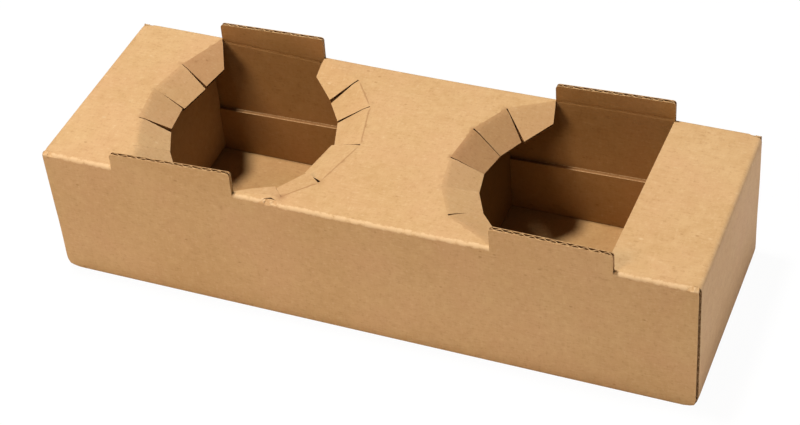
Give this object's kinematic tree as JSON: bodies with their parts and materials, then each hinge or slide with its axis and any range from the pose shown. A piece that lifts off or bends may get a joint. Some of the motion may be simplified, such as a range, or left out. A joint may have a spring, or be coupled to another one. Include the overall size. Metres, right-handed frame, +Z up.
{
  "type": "cardboard cup carrier",
  "caption": "Folded corrugated kraft box that carries take-away cups side by side, gripped by slit tabs round openings in its top.",
  "frame": {"origin": "on the surface the carrier stands on, under the middle of the box", "axes": "+X along the carrier, towards the end with the straight-edged opening; +Y towards the back wall, which has the glued flap inside; +Z up"},
  "size_m": [0.224, 0.076, 0.0584],
  "materials": {
    "kraft_board": "matt brown kraft liner, corrugated, cut edges show the flutes",
    "divider_board": "matt brown kraft liner, corrugated, cut edges show the flutes"
  },
  "bodies": {
    "root": {"carrier": "kraft_board", "divider": "divider_board"}
  },
  "joints": []
}
